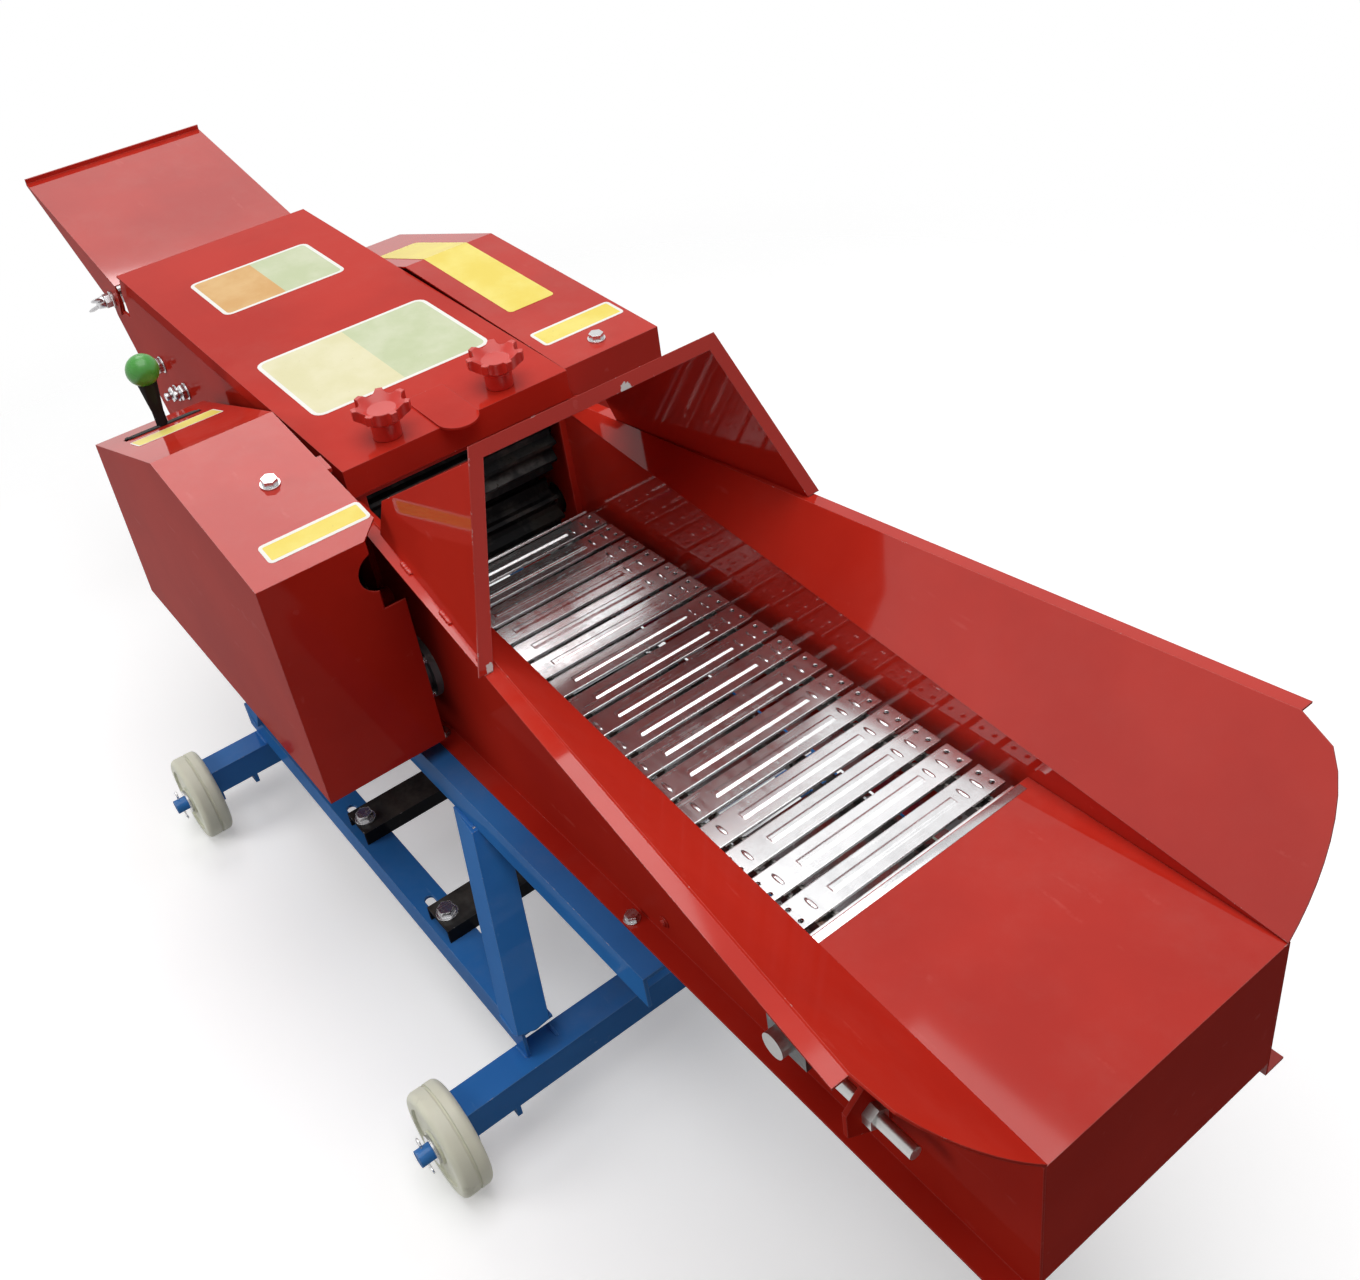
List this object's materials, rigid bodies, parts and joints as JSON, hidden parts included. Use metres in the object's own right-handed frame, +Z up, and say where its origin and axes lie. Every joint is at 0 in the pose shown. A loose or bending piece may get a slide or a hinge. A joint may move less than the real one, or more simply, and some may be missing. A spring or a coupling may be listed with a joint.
{
  "type": "chaff cutter",
  "caption": "Motor-driven chaff cutter: slat conveyor in a flared trough, feed rollers, knife rotor under a hinged cover, tilting chute, on a wheeled angle-iron frame.",
  "frame": {"origin": "middle of the footprint on the floor", "axes": "+X toward the trough's front end, -Y the gear side, +Z up"},
  "size_m": [2.0361, 0.792, 0.8232],
  "materials": {
    "red_paint": "gloss red paint on sheet steel",
    "blue_paint": "gloss blue paint on angle iron",
    "black_paint": "satin black paint",
    "zinc": "galvanised sheet",
    "steel": "bare turned steel",
    "cast": "machined cast iron",
    "wheel_plastic": "cream moulded plastic",
    "knob_plastic": "red moulded plastic",
    "ball_plastic": "green moulded plastic"
  },
  "bodies": {
    "machine": {"upper_rail_near": "blue_paint", "upper_rail_far": "blue_paint", "lower_rail_near": "blue_paint", "lower_rail_far": "blue_paint", "front_leg_near": "blue_paint", "front_leg_far": "blue_paint", "rear_leg_near": "blue_paint", "rear_leg_far": "blue_paint", "front_axle": "blue_paint", "rear_axle": "blue_paint", "cross_ties": "blue_paint", "motor_rail_front": "black_paint", "motor_rail_rear": "black_paint", "axle_washers": "zinc", "trough_near_wall": "red_paint", "trough_far_wall": "red_paint", "deck_cover": "red_paint", "feed_hood": "red_paint", "takeup_blocks": "cast", "takeup_screws": "steel", "drive_bearings": "cast", "conveyor_chains": "steel", "slats_top": "zinc", "slats_return": "zinc", "housing_near_plate": "red_paint", "housing_far_plate": "red_paint", "throat_panel": "red_paint", "rotor_casing": "red_paint", "hinge_rod": "steel", "chute_pivots": "zinc", "gear_guard": "red_paint", "belt_guard": "red_paint", "main_bearings": "cast", "bed_knife": "steel", "fasteners": "zinc"},
    "wheel_front_near": {"wheel_front_near": "wheel_plastic"},
    "wheel_front_far": {"wheel_front_far": "wheel_plastic"},
    "wheel_rear_near": {"wheel_rear_near": "wheel_plastic"},
    "wheel_rear_far": {"wheel_rear_far": "wheel_plastic"},
    "rotor": {"main_shaft": "steel", "knife_drum": "cast", "knives": "steel", "knife_bolts": "steel", "driven_pulley": "cast"},
    "counter": {"counter_shaft": "steel"},
    "shift_pair": {"shift_gears": "steel"},
    "lower_feed": {"lower_roller": "steel", "lower_roller_gears": "cast"},
    "floating_blocks": {"upper_bearing_blocks": "cast"},
    "upper_feed": {"upper_roller": "steel"},
    "feed_idler": {"feed_idler_gear": "cast"},
    "conveyor_drive": {"drive_shaft": "steel", "conveyor_gear": "cast"},
    "conveyor_idler": {"idler_shaft": "steel"},
    "lever": {"gear_lever": "black_paint", "lever_ball": "ball_plastic"},
    "cover": {"top_cover": "red_paint"},
    "knob_near": {"star_knob_near": "knob_plastic"},
    "knob_far": {"star_knob_far": "knob_plastic"},
    "chute": {"chute": "red_paint"}
  },
  "joints": [
    {"name": "wheel_front_near_turn", "type": "hinge", "parent": "machine", "child": "wheel_front_near", "pos_m": [0.40598, 0, 0.0625], "axis": [0, 1, 0], "continuous": true},
    {"name": "wheel_front_far_turn", "type": "hinge", "parent": "machine", "child": "wheel_front_far", "pos_m": [0.40598, 0, 0.0625], "axis": [0, 1, 0], "continuous": true},
    {"name": "wheel_rear_near_turn", "type": "hinge", "parent": "machine", "child": "wheel_rear_near", "pos_m": [-0.32101, 0, 0.0625], "axis": [0, 1, 0], "continuous": true},
    {"name": "wheel_rear_far_turn", "type": "hinge", "parent": "machine", "child": "wheel_rear_far", "pos_m": [-0.32101, 0, 0.0625], "axis": [0, 1, 0], "continuous": true},
    {"name": "rotor_turn", "type": "hinge", "parent": "machine", "child": "rotor", "pos_m": [-0.24762, 0, 0.478], "axis": [0, 1, 0], "continuous": true},
    {"name": "counter_turn", "type": "hinge", "parent": "machine", "child": "counter", "pos_m": [-0.1234, 0, 0.50797], "axis": [0, 1, 0], "continuous": true},
    {"name": "shift_slide", "type": "slide", "parent": "counter", "child": "shift_pair", "axis": [0, 1, 0], "range_m": [-0.0131, 0.0131]},
    {"name": "lower_roller_turn", "type": "hinge", "parent": "machine", "child": "lower_feed", "pos_m": [-0.00201, 0, 0.468], "axis": [0, 1, 0], "continuous": true},
    {"name": "upper_roller_lift", "type": "slide", "parent": "machine", "child": "floating_blocks", "axis": [0, 0, 1], "range_m": [0, 0.025]},
    {"name": "upper_roller_turn", "type": "hinge", "parent": "floating_blocks", "child": "upper_feed", "pos_m": [-0.00201, 0, 0.581], "axis": [0, 1, 0], "continuous": true},
    {"name": "feed_idler_turn", "type": "hinge", "parent": "machine", "child": "feed_idler", "pos_m": [0.08177, 0, 0.50916], "axis": [0, 1, 0], "continuous": true},
    {"name": "conveyor_drive_turn", "type": "hinge", "parent": "machine", "child": "conveyor_drive", "pos_m": [0.13198, 0, 0.43637], "axis": [0, 1, 0], "continuous": true, "deforming": ["conveyor_chains"]},
    {"name": "conveyor_idler_turn", "type": "hinge", "parent": "machine", "child": "conveyor_idler", "pos_m": [0.77968, 0, 0.43637], "axis": [0, 1, 0], "continuous": true, "deforming": ["conveyor_chains"]},
    {"name": "gear_lever_swing", "type": "hinge", "parent": "machine", "child": "lever", "pos_m": [-0.28162, -0.232, 0.44544], "axis": [1, 0, 0], "range_deg": [-12, 12]},
    {"name": "cover_hinge", "type": "hinge", "parent": "machine", "child": "cover", "pos_m": [-0.63301, 0, 0.69424], "axis": [0, -1, 0], "range_deg": [0, 100]},
    {"name": "knob_near_turn", "type": "hinge", "parent": "cover", "child": "knob_near", "pos_m": [0.04199, -0.074, 0.67536], "axis": [0.0523, 0, 0.9986], "continuous": true},
    {"name": "knob_far_turn", "type": "hinge", "parent": "cover", "child": "knob_far", "pos_m": [0.04199, 0.074, 0.67536], "axis": [0.0523, 0, 0.9986], "continuous": true},
    {"name": "chute_tilt", "type": "hinge", "parent": "machine", "child": "chute", "pos_m": [-0.70701, 0, 0.65495], "axis": [0, 1, 0], "range_deg": [-20, 25]}
  ],
  "couplings": [
    {"joint": "counter_turn", "follows": "rotor_turn", "ratio": -0.33333},
    {"joint": "upper_roller_turn", "follows": "lower_roller_turn", "ratio": -1},
    {"joint": "feed_idler_turn", "follows": "lower_roller_turn", "ratio": -1.5333},
    {"joint": "conveyor_drive_turn", "follows": "lower_roller_turn", "ratio": 1.0952},
    {"joint": "conveyor_idler_turn", "follows": "lower_roller_turn", "ratio": 1.0952},
    {"joint": "shift_slide", "follows": "gear_lever_swing", "m_per_rad": -0.06207}
  ]
}
